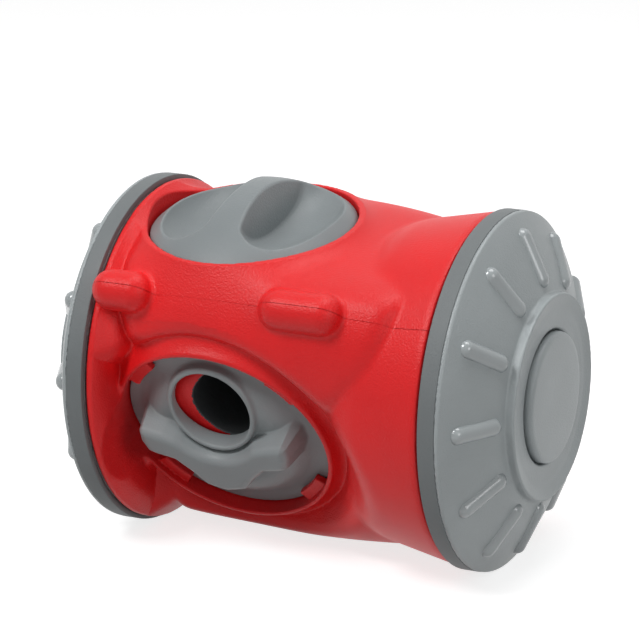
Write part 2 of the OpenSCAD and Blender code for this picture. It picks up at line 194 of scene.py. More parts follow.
# Tabs that hold the dial
TAB_ANGLES = (42.0, 138.0, 222.0, 318.0)
TAB_WIDTH = 20.0
TAB_IN = 4.5
TAB_OUT = 1.2
TAB_Z = (DIAL_TOP + 0.3, DIAL_TOP + 3.3)
# Fixed port under the dial
PORT_TURN = math.radians(24.0)
PORT_T = 3.4
PORT_GAP = 0.3
PORT_LEDGE_R = 35.5
PORT_INSET = DIAL_WALL + 0.6
CHUTE_LEN = 15.0

# Wheels, on the +X side
BAND_X0 = 68.5
BAND_X1 = 75.0
TYRE_R = 65.4
TYRE_ROUND = 0.3
TYRE_SEGMENTS = 240
EDGE_R = 67.9
DOME_X = -24.3
DOME_R = 121.4
DOME_T = 2.5
HUB_R = 39.2
HUB_BACK_X = 84.0
HUB_DIP_X = 92.4
HUB_DIP_R = 27.0
HUB_RISE = 0.013
HUB_ROUND = 1.2
POCKET_X = 90.4
POCKET_ROUND = 1.6
TUBE_R = 14.6
WEB_X = 87.9
BORE_R = 9.1
BORE_X = 88.0
DISC_R = 24.8
DISC_GAP = 0.5
DISC_BACK_X = 90.5
DISC_SEGMENTS = 160
HUB_FACE_X = 95.2
RIB_MID = 52.5
RIB_HALF = 8.4
RIB_R = 3.6
RIB_SUNK = 1.5
RIB_COUNT = 12


# Distance field helpers
def smin(a, b, k):
    h = np.maximum(k - np.abs(a - b), 0.0) / k
    return np.minimum(a, b) - h * h * k * 0.25


def smax(a, b, k):
    return -smin(-a, -b, k)


def turn_frame(angle, shift, x, y, z):
    """Local coordinates of a part whose axis leaves the axle at an angle above the front."""
    a = math.radians(90.0 - angle)
    across = y * math.cos(a) + z * math.sin(a) - shift
    out = z * math.cos(a) - y * math.sin(a)
    return x - POD_X, across, out


def cap_frame(x, y, z):
    return turn_frame(CAP_ANGLE, CAP_SHIFT, x, y, z)


def dial_frame(x, y, z):
    return turn_frame(DIAL_ANGLE, DIAL_SHIFT, x, y, z)


def slab(v, lo, hi):
    return np.maximum(lo - v, v - hi)


def wedge(lx, ly, r_in, r_out, angle, width):
    """Ring sector in plan, centred on an angle from local X, in degrees."""
    a = math.radians(angle)
    along = lx * math.cos(a) + ly * math.sin(a)
    side = np.abs(ly * math.cos(a) - lx * math.sin(a))
    half = math.radians(width / 2.0)
    r = np.hypot(lx, ly)
    flank = side * math.cos(half) - along * math.sin(half)
    return np.maximum(np.maximum(r - r_out, r_in - r), flank)


def polygon_field(px, py, points):
    """Signed distance to a closed polygon in plan."""
    best = np.full(px.shape, FAR)
    odd = np.zeros(px.shape, bool)
    for (ax, ay), (bx, by) in zip(points, points[1:] + points[:1]):
        ex, ey = bx - ax, by - ay
        wx, wy = px - ax, py - ay
        t = np.clip((wx * ex + wy * ey) / (ex * ex + ey * ey), 0.0, 1.0)
        best = np.minimum(best, (wx - ex * t) ** 2 + (wy - ey * t) ** 2)
        if ay != by:
            crosses = (ay > py) != (by > py)
            odd ^= crosses & (px < ex * (py - ay) / ey + ax)
    return np.where(odd, -1.0, 1.0) * np.sqrt(best)


# Surface extraction
def sample_grid(field, lo, step, cells):
    blocks = cells // BLOCK
    size = step * BLOCK
    centres = [lo[i] + size * (np.arange(blocks[i]) + 0.5) for i in range(3)]
    cx, cy, cz = np.meshgrid(*centres, indexing="ij")
    coarse = field(cx.ravel(), cy.ravel(), cz.ravel()).reshape(blocks)
    values = np.empty(cells + 1, np.float32)
    body = coarse.astype(np.float32)
    for axis in range(3):
        body = np.repeat(body, BLOCK, axis=axis)
    values[:-1, :-1, :-1] = body
    values[-1] = values[-2]
    values[:, -1] = values[:, -2]
    values[:, :, -1] = values[:, :, -2]
    near = np.argwhere(np.abs(coarse) < size * NEAR)
    span = np.arange(BLOCK + 1)
    shape = (BLOCK + 1,) * 3
    for start in range(0, len(near), CHUNK):
        part = near[start:start + CHUNK]
        axes = [lo[i] + step * (part[:, i, None] * BLOCK + span) for i in range(3)]
        full = (len(part),) + shape
        gx = np.broadcast_to(axes[0][:, :, None, None], full).ravel()
        gy = np.broadcast_to(axes[1][:, None, :, None], full).ravel()
        gz = np.broadcast_to(axes[2][:, None, None, :], full).ravel()
        got = field(gx, gy, gz).reshape(full)
        for (i, j, k), block in zip(part * BLOCK, got):
            values[i:i + BLOCK + 1, j:j + BLOCK + 1, k:k + BLOCK + 1] = block
    return values


def surface_nets(values, lo, step):
    inside = values < 0.0
    cells = np.array(values.shape) - 1
    corners = [(a, b, c) for a in (0, 1) for b in (0, 1) for c in (0, 1)]
    count = np.zeros(cells, np.uint8)
    for a, b, c in corners:
        count += inside[a:cells[0] + a, b:cells[1] + b, c:cells[2] + c]
    active = (count > 0) & (count < 8)
    cell = np.argwhere(active)
    index = np.full(cells, -1, np.int64)
    index[active] = np.arange(len(cell))
    at = [values[cell[:, 0] + a, cell[:, 1] + b, cell[:, 2] + c].astype(float) for a, b, c in corners]
    total = np.zeros((len(cell), 3))
    number = np.zeros(len(cell))
    for p, cp in enumerate(corners):
        for q, cq in enumerate(corners):
            if q > p and sum(abs(u - v) for u, v in zip(cp, cq)) == 1:
                cross = (at[p] < 0.0) != (at[q] < 0.0)
                t = np.where(cross, at[p] / np.where(cross, at[p] - at[q], 1.0), 0.0)
                spot = np.array(cp) + t[:, None] * (np.array(cq) - np.array(cp))
                total += spot * cross[:, None]
                number += cross
    points = lo + step * (cell + total / number[:, None])
    quads = []
    for axis in range(3):
        u, v = (axis + 1) % 3, (axis + 2) % 3
        first = [slice(None)] * 3
        second = [slice(None)] * 3
        first[axis] = slice(0, -1)
        second[axis] = slice(1, None)
        change = inside[tuple(first)] != inside[tuple(second)]
        edge = np.argwhere(change)
        keep = np.ones(len(edge), bool)
        for side in (u, v):
            keep &= (edge[:, side] > 0) & (edge[:, side] < cells[side])
        edge = edge[keep]
        outward = inside[tuple(edge.T)]
        ring = []
        for du, dv in ((-1, -1), (0, -1), (0, 0), (-1, 0)):
            spot = edge.copy()
            spot[:, u] += du
            spot[:, v] += dv
            ring.append(index[tuple(spot.T)])
        quad = np.stack(ring, 1)
        quads.append(np.where(outward[:, None], quad, quad[:, ::-1]))
    return points, np.concatenate(quads)


def gradient(field, p, eps):
    g = np.empty_like(p)
    for axis in range(3):
        d = np.zeros(3)
        d[axis] = eps
        hi = p + d
        lo = p - d
        g[:, axis] = field(*hi.T) - field(*lo.T)
    return g / (2.0 * eps)


def settle(field, p, step):
    """Moves points onto the surface and returns them with their normals."""
    limit = NEWTON_SHARE * step
    for _ in range(NEWTON_ROUNDS):
        g = gradient(field, p, NEWTON_EPS)
        move = (field(*p.T) / np.maximum((g * g).sum(1), 0.05))[:, None] * g
        length = np.linalg.norm(move, axis=1, keepdims=True)
        p = p - move * np.minimum(1.0, limit / np.maximum(length, 1e-9))
    return p, unit(gradient(field, p, NORMAL_EPS))


def unit(v):
    return v / np.maximum(np.linalg.norm(v, axis=1, keepdims=True), 1e-9)


def plain_mesh(name, points, quads):
    mesh = bpy.data.meshes.new(name)
    mesh.vertices.add(len(points))
    place = points * MM + np.array([0.0, 0.0, WHEEL_R * MM])
    mesh.vertices.foreach_set("co", place.astype(np.float32).ravel())
    mesh.loops.add(quads.size)
    mesh.loops.foreach_set("vertex_index", quads.astype(np.int32).ravel())
    mesh.polygons.add(len(quads))
    mesh.polygons.foreach_set("loop_start", np.arange(0, quads.size, quads.shape[1], dtype=np.int32))
    mesh.polygons.foreach_set("use_smooth", np.ones(len(quads), bool))
    mesh.update(calc_edges=True)
    return mesh


def link_mesh(name, mesh, normals):
    mesh.normals_split_custom_set_from_vertices(normals.astype(np.float32))
    obj = bpy.data.objects.new(name, mesh)
    bpy.context.scene.collection.objects.link(obj)
    return obj


def put_mesh(name, points, quads, normals):
    return link_mesh(name, plain_mesh(name, points, quads), normals)


def field_mesh(field, lo, hi, step):
    lo = np.array(lo, float)
    blocks = np.ceil((np.array(hi, float) - lo) / (step * BLOCK)).astype(int)
    points, quads = surface_nets(sample_grid(field, lo, step, blocks * BLOCK), lo, step)
    points, normals = settle(field, points, step)
    return points, quads, normals


# Body shells
def lobes_field(x, y, z):
    rho = np.hypot(y, z)
    phi = np.arctan2(z, -y)
    out = rho - CORE_R
    for i, (angle, r, reach) in enumerate(LOBES):
        a = math.radians(angle)
        cy, cz = -(reach - r) * math.cos(a), (reach - r) * math.sin(a)
        share = 1.0 if i == REAR else LOBE_FALL_SHARE
        lobe = np.hypot(y - cy, z - cz) - r + LOBE_FALL * (x - LOBE_MID) ** 2 * share
        if i != REAR:
            turn = (phi - a + math.pi) % (2.0 * math.pi) - math.pi
            plan = np.hypot(x - LOBE_MID, LOBE_DRUM_R * turn) - LOBE_PLAN_R
            lobe = smax(lobe, plan, LOBE_PLAN_ROUND)
        out = smin(out, lobe, LOBE_BLEND)
    return out


def flare_side(along, rho, flare):
    """Bell between one flange and the body, with along counted from the middle to that flange."""
    start, slope, bend_start, bend = flare
    past = np.maximum(bend_start - along, 0.0)
    radius = FLANGE_R - slope * np.maximum(start - along, 0.0) - bend * past ** 2
    return (rho - radius) / np.hypot(1.0, slope + 2.0 * bend * past)


def flare_field(x, rho):
    return np.minimum(flare_side(x, rho, FLARE_RIGHT), flare_side(-x, rho, FLARE_LEFT))


def bump_field(x, out, up, place, half, reach):
    dx = np.maximum(np.abs(x - place) - half, 0.0)
    return np.sqrt(dx * dx + (out - reach) ** 2 + (up + BUMP_DROP) ** 2) - BUMP_R


def split_coords(y, z):
    return z * math.sin(SPLIT) - y * math.cos(SPLIT), y * math.sin(SPLIT) + z * math.cos(SPLIT)


def outer_form(x, rho, lobes, cap, dial, split):
    """Outside of the body: lobes, flares, the collars of the cap and the dial, and the bumps."""
    (cr, cz), (dr, dz), (out, up) = cap, dial, split
    cap_limit = cz - CAP_H + CAP_FALL * np.maximum(cr - CAP_R, 0.0)
    dish = (dz - LIP_H + DISH_DROP - DISH_RISE * np.maximum(dr - DISH_R, 0.0)) * DISH_SCALE
    dish = np.minimum(dish, x + DISH_LEFT)
    lobes = smax(smax(lobes, cap_limit, LIMIT_ROUND), dish, LIMIT_ROUND)
    form = smin(lobes, smax(flare_field(x, rho), dish, LIMIT_ROUND), FLARE_BLEND)
    cap_wide = CAP_R + CAP_COLLAR_OUT + CAP_COLLAR_SLOPE * (CAP_H - cz)
    cap_collar = np.maximum((cr - cap_wide) * CAP_COLLAR_SCALE, cz - CAP_H)
    form = smin(form, np.maximum(cap_collar, CAP_COLLAR_Z - cz), CAP_COLLAR_BLEND)
    dial_wide = RECESS_R + DIAL_COLLAR_OUT + DIAL_COLLAR_SLOPE * (LIP_H - dz)
    dial_wide = np.minimum(dial_wide, RECESS_R + DIAL_COLLAR_WIDEST)
    dial_collar = smax((dr - dial_wide) * DIAL_COLLAR_SCALE, dz - LIP_H, 0.8)
    form = smin(form, np.maximum(dial_collar, DIAL_COLLAR_Z - dz), DIAL_COLLAR_BLEND)
    for place, half in BUMPS:
        for reach in (BUMP_FRONT, -BUMP_BACK):
            form = smin(form, bump_field(x, out, up, place, half, reach), BUMP_BLEND)
    return smax(form, np.abs(x) - FLANGE_X, FLANGE_ROUND), lobes


def end_hollows(x, y, z, rho, cup):
    """Hollows behind the wheels, with ribs and the axle's boss left standing in them."""
    ribs = np.full(x.shape, FAR)
    for i in range(END_RIBS):
        a = math.pi * (i + 0.5) / END_RIBS
        ribs = np.minimum(ribs, np.abs(y * math.cos(a) + z * math.sin(a)) - END_RIB_HALF)
    stand = np.maximum(np.minimum(rho - BOSS_R, ribs), np.abs(x) - END_RIB_X)
    right = np.maximum(np.maximum(rho - RIGHT_END[0], RIGHT_END[1] - x), -stand)
    left = np.maximum(np.maximum(rho - LEFT_END[0], LEFT_END[1] + x), -np.minimum(stand, cup))
    return np.minimum(right, left)


def cap_opening(cx, cy, cr, cz):
    """Seat, neck and bayonet notches for the cap."""
    seat = np.maximum(cr - CAP_R - CAP_GAP, LEDGE_Z - cz)
    hole = np.maximum(cr - NECK_R, LEDGE_Z - LEDGE_T - 1.0 - cz)
    sweep = np.maximum(cr - LUG_R - LUG_PLAY, slab(cz, LUG_Z - LUG_PLAY, LUG_Z + LUG_H + LUG_PLAY))
    opening = np.minimum(np.minimum(seat, hole), sweep)
    for angle in LUG_ANGLES:
        notch = wedge(cx, cy, NOTCH_IN, LUG_R + LUG_PLAY, angle, NOTCH_WIDTH)
        opening = np.minimum(opening, np.maximum(notch, slab(cz, LUG_Z, LEDGE_Z + 1.0)))
    return opening


def body_field(x, y, z):
    rho = np.hypot(y, z)
    cx, cy, cz = cap_frame(x, y, z)
    dx, dy, dz = dial_frame(x, y, z)
    cr = np.hypot(cx, cy)
    dr = np.hypot(dx, dy)
    out, up = split_coords(y, z)
    form, lobes = outer_form(x, rho, lobes_field(x, y, z), (cr, cz), (dr, dz), (out, up))

    cup = np.maximum(dr - RECESS_R - CUP_T, PORT_Z - CUP_T - dz)
    cup = np.minimum(cup, np.maximum(dr - RECESS_R - CUP_LIP_OUT, LIP_H - CUP_LIP_T - dz))
    boss = np.maximum(rho - BOSS_R, BOSS_X - np.abs(x))
    neck = np.maximum(cr - CAP_R - NECK_T, LEDGE_Z - LEDGE_T - cz)
    kept = np.minimum(np.minimum(cup, boss), neck)
    chamber = smax(lobes + SHELL_T, slab(x, *CHAMBER_X), CHAMBER_ROUND)
    form = smax(form, -smax(chamber, -kept, 1.0), EDGE)
    form = smax(form, -end_hollows(x, y, z, rho, cup), EDGE)
    form = np.maximum(form, AXLE_HOLE_R - rho)
    form = smax(form, -cap_opening(cx, cy, cr, cz), EDGE)

    recess = np.maximum(dr - RECESS_R, PORT_Z - dz)
    ledge = np.maximum(dr - PORT_LEDGE_R, PORT_Z - PORT_T - dz)
    form = smax(form, -np.minimum(recess, ledge), 0.7)
    for angle in TAB_ANGLES:
        tab = wedge(dx, dy, RECESS_R - TAB_IN, RECESS_R + TAB_OUT, angle, TAB_WIDTH)
        form = np.minimum(form, smax(tab, slab(dz, *TAB_Z), SHARP))
    for place, _ in BUMPS:
        well = np.maximum(np.hypot(x - place, out + WELL_BACK) - WELL_R, slab(up, *WELL_UP))
        form = smax(form, -well, 0.4)
    return form


def shell_half(name, points, quads, side):
    """One half of the body, cut at the parting plane and closed there."""
    up = Vector((0.0, math.sin(SPLIT), math.cos(SPLIT))) * side
    mesh = plain_mesh(name, points, quads)
    work = bmesh.new()
    work.from_mesh(mesh)
    everything = work.verts[:] + work.edges[:] + work.faces[:]
    at = Vector((0.0, 0.0, WHEEL_R * MM)) + up * SEAM * MM
    bmesh.ops.bisect_plane(work, geom=everything, dist=1e-7, plane_co=at, plane_no=up, clear_inner=True)
    rim = [e for e in work.edges if e.is_boundary]
    made = bmesh.ops.triangle_fill(work, use_beauty=True, edges=rim)["geom"]
    for face in made:
        if isinstance(face, bmesh.types.BMFace):
            face.smooth = False
            if face.normal.dot(up) > 0.0:
                face.normal_flip()
    work.to_mesh(mesh)
    work.free()
    place = np.empty(len(mesh.vertices) * 3, np.float32)
    mesh.vertices.foreach_get("co", place)
    spots = (place.reshape(-1, 3).astype(float) - np.array([0.0, 0.0, WHEEL_R * MM])) / MM
    return link_mesh(name, mesh, unit(gradient(body_field, spots, NORMAL_EPS)))


# Dial, a hollow cone with its hole off centre, and the fixed port under it
def cone_field(r, lz, inset):
    wide = CONE_R - CONE_SLOPE * (lz - DIAL_TOP)
    flank = (r - wide) / math.hypot(1.0, CONE_SLOPE) + inset
    return smax(flank, lz - DIAL_TOP - CONE_H + inset, CONE_ROUND)


def dial_field(x, y, z):
    lx, ly, lz = dial_frame(x, y, z)
    r = np.hypot(lx, ly)
    rh = np.hypot(lx, ly - HOLE_REACH)
    flange = smax(r - RECESS_R + DIAL_GAP, slab(lz, DIAL_Z, DIAL_TOP), 0.8)
    cone = np.maximum(cone_field(r, lz, 0.0), DIAL_ROOT - lz)
    rim_top = lz - DIAL_TOP - RIM_H - RIM_TILT * (HOLE_REACH - ly)
    rim = smax(smax(rh - RIM_R, rim_top, RIM_ROUND), DIAL_ROOT - lz, SHARP)
    mirrored = [(-px, py) for px, py in WING[:0:-1]]
    plan = polygon_field(lx, ly, list(WING) + mirrored)
    plan = smax(plan, RIM_R + WING_RIM_GAP - rh, 1.0)
    lean = plan + WING_LEAN * (lz - DIAL_TOP - WING_LEAN_Z)
    wing = smax(smax(lean, lz - DIAL_TOP - WING_H, WING_ROUND), DIAL_ROOT - lz, SHARP)
    form = smin(flange, cone, 2.0)
    form = smin(form, wing, 0.7)
    form = smin(form, rim, 1.2)
    hollow = np.maximum(cone_field(r, lz, DIAL_WALL), DIAL_Z - 1.0 - lz)
    form = smax(form, -hollow, EDGE)
    return smax(form, HOLE_R - rh, 1.0)


def port_hole(lx, ly):
    """Distance from the axis of the port's hole, which is turned away from the dial's."""
    return np.hypot(lx - HOLE_REACH * math.sin(PORT_TURN), ly - HOLE_REACH * math.cos(PORT_TURN))


def port_field(x, y, z):
    lx, ly, lz = dial_frame(x, y, z)
    r = np.hypot(lx, ly)
    rh = port_hole(lx, ly)
    plate = np.maximum(r - RECESS_R + PORT_GAP, slab(lz, PORT_Z, PORT_Z + PORT_T))
    dome = np.maximum(cone_field(r, lz, PORT_INSET), PORT_Z + 0.5 - lz)
    chute = np.maximum(rh - RIM_R, slab(lz, PORT_Z - CHUTE_LEN, PORT_Z + 1.0))
    form = np.minimum(np.minimum(plate, dome), chute)
    return smax(form, HOLE_R - rh, 0.8)


def shaded_chute_faces(points):
    """True for the faces that line the way down into the chamber, which get the near-black material as
    painted shade.
    """
    lx, ly, lz = dial_frame(*points.T)
    return (port_hole(lx, ly) < HOLE_R + 0.5) | (lz < PORT_Z - 0.5)


# Filling cap
def ellipsoid(u, v, w, a, b, c):
    near = np.sqrt((u / a) ** 2 + (v / b) ** 2 + (w / c) ** 2)
    slope = np.sqrt((u / a ** 2) ** 2 + (v / b ** 2) ** 2 + (w / c ** 2) ** 2)
    return near * (near - 1.0) / np.maximum(slope, 1e-6)


def cap_field(x, y, z):
    lx, ly, lz = cap_frame(x, y, z)
    r = np.hypot(lx, ly)
    ball_r = (CAP_R ** 2 + CAP_CROWN ** 2) / (2.0 * CAP_CROWN)
    ball = np.sqrt(r * r + (lz - CAP_H - CAP_CROWN + ball_r) ** 2) - ball_r
    dome = smax(smax(ball, r - CAP_R, 1.0), CAP_UNDER - lz, EDGE)
    side = np.abs(lx)
    at_x, at_y, at_z = SCOOP_AT
    scoop = ellipsoid(side - at_x, ly - at_y, lz - CAP_H - at_z, *SCOOP_HALF)
    down = np.clip((CAP_H + CAP_CROWN - lz) / CAP_CROWN, 0.0, 1.0)
    grip = GRIP_HALF + GRIP_SWELL * np.sin(down * math.pi / 2.0)
    scoop = smax(scoop, (grip - side) * GRIP_SCALE, 1.0)
    dome = smax(dome, -scoop, 1.0)
    skirt = np.maximum(slab(r, SKIRT_R - SKIRT_T, SKIRT_R), slab(lz, LUG_Z, CAP_UNDER + 1.0))
    form = np.minimum(dome, skirt)
    for angle in LUG_ANGLES:
        lug = wedge(lx, ly, SKIRT_R - 1.0, LUG_R, angle, LUG_WIDTH)
        form = np.minimum(form, np.maximum(lug, slab(lz, LUG_Z, LUG_Z + LUG_H)))
    return form


# Wheels, built on the +X side
def wheel_field(x, y, z):
    rho = np.hypot(y, z)
    ball = np.sqrt((x - DOME_X) ** 2 + rho * rho) - DOME_R
    shell = smax(smax(ball, rho - EDGE_R, SHARP), BAND_X0 - x, 0.4)
    hub_top = HUB_DIP_X + HUB_RISE * (rho - HUB_DIP_R) ** 2
    shell = smax(shell, -np.maximum(rho - HUB_R, hub_top - x), SHARP)
    hub = smax(np.maximum(rho - HUB_R, HUB_BACK_X - x), x - hub_top, HUB_ROUND)
    form = smin(shell, hub, 0.8)
    pocket = np.maximum(rho - DISC_R - DISC_GAP, POCKET_X - x)
    form = smax(form, -pocket, POCKET_ROUND)
    inner = smax(ball + DOME_T, rho - TYRE_R + DOME_T, 1.0)
    inner = smax(inner, BAND_X0 - 2.0 - x, SHARP)
    inner = smax(inner, TUBE_R - rho, SHARP)
    inner = smax(inner, x - WEB_X, SHARP)
    form = smax(form, -inner, SHARP)
    form = smax(form, -np.maximum(TYRE_R - rho, x - BAND_X1), 0.2)
    return smax(form, -np.maximum(rho - BORE_R, x - BORE_X), 0.4)


def rib_field(x, y, z):
    tilt = math.asin(RIB_MID / DOME_R)
    form = np.full(x.shape, FAR)
    for i in range(RIB_COUNT):
        a = 2.0 * math.pi * i / RIB_COUNT
        across = y * math.cos(a) - z * math.sin(a)
        out = y * math.sin(a) + z * math.cos(a)
        along = out * math.cos(tilt) - (x - DOME_X) * math.sin(tilt)
        deep = out * math.sin(tilt) + (x - DOME_X) * math.cos(tilt) - DOME_R + RIB_SUNK
        run = np.maximum(np.abs(along) - RIB_HALF, 0.0)
        form = np.minimum(form, np.sqrt(run * run + across ** 2 + deep ** 2) - RIB_R)
    ball = np.sqrt((x - DOME_X) ** 2 + y * y + z * z) - DOME_R
    return np.maximum(form, -ball - 1.0)


def lathe(profile, segments):
    """Closed ring turned about the axle from (radius, x) points."""
    count = len(profile)
    angle = np.arange(segments) * 2.0 * math.pi / segments
    r = np.array([p[0] for p in profile])
    px = np.array([p[1] for p in profile])
    points = np.empty((segments, count, 3))
    points[:, :, 0] = px
    points[:, :, 1] = -np.cos(angle)[:, None] * r
    points[:, :, 2] = np.sin(angle)[:, None] * r
    i = np.arange(segments)[:, None]
    j = np.arange(count)[None, :]
    i1, j1 = (i + 1) % segments, (j + 1) % count
    quads = np.stack([i * count + j, i * count + j1, i1 * count + j1, i1 * count + j], -1).reshape(-1, 4)
    nxt = np.roll(np.stack([r, px], 1), -1, 0) - np.stack([r, px], 1)
    mean = nxt / np.linalg.norm(nxt, axis=1, keepdims=True)
    mean = mean + np.roll(mean, 1, 0)
    nr, nx = mean[:, 1], -mean[:, 0]
    normals = np.empty_like(points)
    normals[:, :, 0] = nx
    normals[:, :, 1] = -np.cos(angle)[:, None] * nr
    normals[:, :, 2] = np.sin(angle)[:, None] * nr
    normals /= np.linalg.norm(normals, axis=2, keepdims=True)
    return points.reshape(-1, 3), quads, normals.reshape(-1, 3)


def rounded(corners, radius, steps):
    """Closed outline with its corners rounded."""
    out = []
    n = len(corners)
    for i in range(n):
        p = np.array(corners[i], float)
        a = np.array(corners[i - 1], float) - p
        b = np.array(corners[(i + 1) % n], float) - p
        a /= np.linalg.norm(a)
        b /= np.linalg.norm(b)
        half = math.acos(max(-1.0, min(1.0, float(a @ b)))) / 2.0
        reach = radius / math.tan(half)
        centre = p + (a + b) / np.linalg.norm(a + b) * radius / math.sin(half)
        start = p + a * reach - centre
        end = p + b * reach - centre
        for s in range(steps + 1):
            v = start * (1.0 - s / steps) + end * (s / steps)
            out.append(tuple(centre + v / np.linalg.norm(v) * radius))
    return out


# Materials, with lengths in metres
GRAIN_DEPTH = 0.0004
DRIFT_SCALE = 35.0
DRIFT = 0.04
PLASTIC_IOR = 1.5
BRUSH_STRETCH = (0.1, 1.0, 1.0)


def shade(colour, share):
    return tuple(min(1.0, c * share) for c in colour) + (1.0,)


def noise_node(nodes, scale, detail):
    noise = nodes.new("ShaderNodeTexNoise")
    noise.inputs["Scale"].default_value = scale
    noise.inputs["Detail"].default_value = detail
    return noise


def range_node(nodes, low, high):
    spread = nodes.new("ShaderNodeMapRange")
    spread.inputs["To Min"].default_value = low
    spread.inputs["To Max"].default_value = high
    return spread


def new_material(name):
    mat = bpy.data.materials.new(name)
    mat.use_nodes = True
    return mat, mat.node_tree.nodes, mat.node_tree.links, mat.node_tree.nodes["Principled BSDF"]


def moulded(name, colour, rough, grain, grain_size, level=0.32):
    """Moulded plastic: a fine orange-peel grain, a slow drift of colour and of gloss."""
    mat, nodes, links, bsdf = new_material(name)
    coord = nodes.new("ShaderNodeTexCoord")
    fine = noise_node(nodes, 1.0 / grain_size, 2.0)
    slow = noise_node(nodes, DRIFT_SCALE, 3.0)
    ramp = nodes.new("ShaderNodeValToRGB")
    ramp.color_ramp.elements[0].position = 0.35
    ramp.color_ramp.elements[0].color = shade(colour, 1.0 - DRIFT)
    ramp.color_ramp.elements[1].position = 0.65
    ramp.color_ramp.elements[1].color = shade(colour, 1.0 + DRIFT)
    gloss = range_node(nodes, rough - 0.04, rough + 0.05)
    bump = nodes.new("ShaderNodeBump")
    bump.inputs["Strength"].default_value = grain
    bump.inputs["Distance"].default_value = GRAIN_DEPTH
    links.new(coord.outputs["Object"], fine.inputs["Vector"])
    links.new(coord.outputs["Object"], slow.inputs["Vector"])
    links.new(slow.outputs["Fac"], ramp.inputs["Fac"])
    links.new(ramp.outputs["Color"], bsdf.inputs["Base Color"])
    links.new(fine.outputs["Fac"], gloss.inputs["Value"])
    links.new(gloss.outputs["Result"], bsdf.inputs["Roughness"])
    links.new(fine.outputs["Fac"], bump.inputs["Height"])
    links.new(bump.outputs["Normal"], bsdf.inputs["Normal"])
    bsdf.inputs["IOR"].default_value = PLASTIC_IOR
    bsdf.inputs["Specular IOR Level"].default_value = level
    return mat


def metal(name, colour, rough, grain_size):
    """Bare metal with a fine brushed grain along X."""
    mat, nodes, links, bsdf = new_material(name)
    coord = nodes.new("ShaderNodeTexCoord")
    stretch = nodes.new("ShaderNodeMapping")
    stretch.inputs["Scale"].default_value = BRUSH_STRETCH
    noise = noise_node(nodes, 1.0 / grain_size, 4.0)
    gloss = range_node(nodes, rough - 0.08, rough + 0.1)
    tone = nodes.new("ShaderNodeValToRGB")
    tone.color_ramp.elements[0].color = shade(colour, 0.85)
    tone.color_ramp.elements[1].color = shade(colour, 1.1)
    links.new(coord.outputs["Object"], stretch.inputs["Vector"])
    links.new(stretch.outputs["Vector"], noise.inputs["Vector"])
    links.new(noise.outputs["Fac"], gloss.inputs["Value"])
    links.new(noise.outputs["Fac"], tone.inputs["Fac"])
    links.new(gloss.outputs["Result"], bsdf.inputs["Roughness"])
    links.new(tone.outputs["Color"], bsdf.inputs["Base Color"])
    bsdf.inputs["Metallic"].default_value = 1.0
    return mat


# Colour, roughness, strength and size of the grain, and gloss level
red = moulded("red_plastic", (0.74, 0.011, 0.013), 0.40, 0.5, 0.0007)
grey = moulded("grey_plastic", (0.335, 0.366, 0.374), 0.38, 0.4, 0.0007, 0.45)
cap_grey = moulded("cap_plastic", (0.215, 0.238, 0.245), 0.40, 0.35, 0.0007)
gloss_grey = moulded("rib_plastic", (0.32, 0.35, 0.358), 0.16, 0.05, 0.0012, 0.8)
dial_grey = moulded("dial_plastic", (0.255, 0.28, 0.287), 0.42, 0.25, 0.0007)
# Near-black, for the screws, bushes and wheel backs, and as painted shade inside the outlet's chute.
dark_and_shade = moulded("dark_plastic", (0.035, 0.038, 0.04), 0.55, 0.2, 0.0012)
tread = moulded("tread_rubber", (0.165, 0.18, 0.184), 0.55, 0.25, 0.0009)
seal = moulded("seal_rubber", (0.012, 0.012, 0.013), 0.7, 0.2, 0.0008)
steel = metal("steel", (0.62, 0.63, 0.64), 0.34, 0.0006)
iron = metal("iron", (0.16, 0.16, 0.17), 0.6, 0.0018)


def dress(obj, material, body, slot, *nodes):
    """Gives a piece its material and body, and hides the CAD nodes that it stands for. The slot is not
    used.
    """
    obj.data.materials.append(material)
    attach(obj, body)
    if nodes:
        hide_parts(*nodes)


# Boxes that the fields are meshed in
BODY_BOX = ((-69.0, -80.0, -70.0), (69.0, 72.0, 72.0))
PORT_BOX = ((-67.0, -70.0, -60.0), (21.0, 0.0, 30.0))
DIAL_BOX = ((-67.0, -75.0, -60.0), (21.0, 0.0, 30.0))
CAP_BOX = ((-64.0, -60.0, 30.0), (18.0, 35.0, 76.0))
WHEEL_BOX = ((67.5, -69.0, -69.0), (98.0, 69.0, 69.0))
RIB_BOX = ((67.5, -67.0, -67.0), (98.0, 67.0, 67.0))

body_points, body_quads, _ = field_mesh(body_field, *BODY_BOX, SHELL_STEP)
for name, facing, node in (("body_upper", 1.0, "upper_shell"), ("body_lower", -1.0, "lower_shell")):
    dress(shell_half(name, body_points, body_quads, facing), red, "housing", "red_plastic", node)

port_points, port_quads, port_normals = field_mesh(port_field, *PORT_BOX, FINE_STEP)
port = put_mesh("outlet_port", port_points, port_quads, port_normals)
dress(port, red, "housing", "red_plastic", "port_plate")
# The faces inside the hole and the chute are painted near-black as shade; the port itself is red
# plastic.
port.data.materials.append(dark_and_shade)
chute_shade_mask = shaded_chute_faces(port_points[port_quads].mean(axis=1)).astype(np.int32)
port.data.polygons.foreach_set("material_index", chute_shade_mask)

dial = put_mesh("turning_dial", *field_mesh(dial_field, *DIAL_BOX, FINE_STEP))
dress(dial, dial_grey, "dial_body", "grey_plastic", "outlet_dial")
cap = put_mesh("twist_cap", *field_mesh(cap_field, *CAP_BOX, FINE_STEP))
dress(cap, cap_grey, "cap_body", "grey_plastic", "fill_cap")

FLIP = np.array([-1.0, 1.0, 1.0])
wheel = field_mesh(wheel_field, *WHEEL_BOX, WHEEL_STEP)
ribs = field_mesh(rib_field, *RIB_BOX, FINE_STEP)
tyre_corners = [(TYRE_R, BAND_X0), (WHEEL_R, BAND_X0), (WHEEL_R, BAND_X1), (TYRE_R, BAND_X1)]
tyre = lathe(rounded(tyre_corners, TYRE_ROUND, 4), TYRE_SEGMENTS)
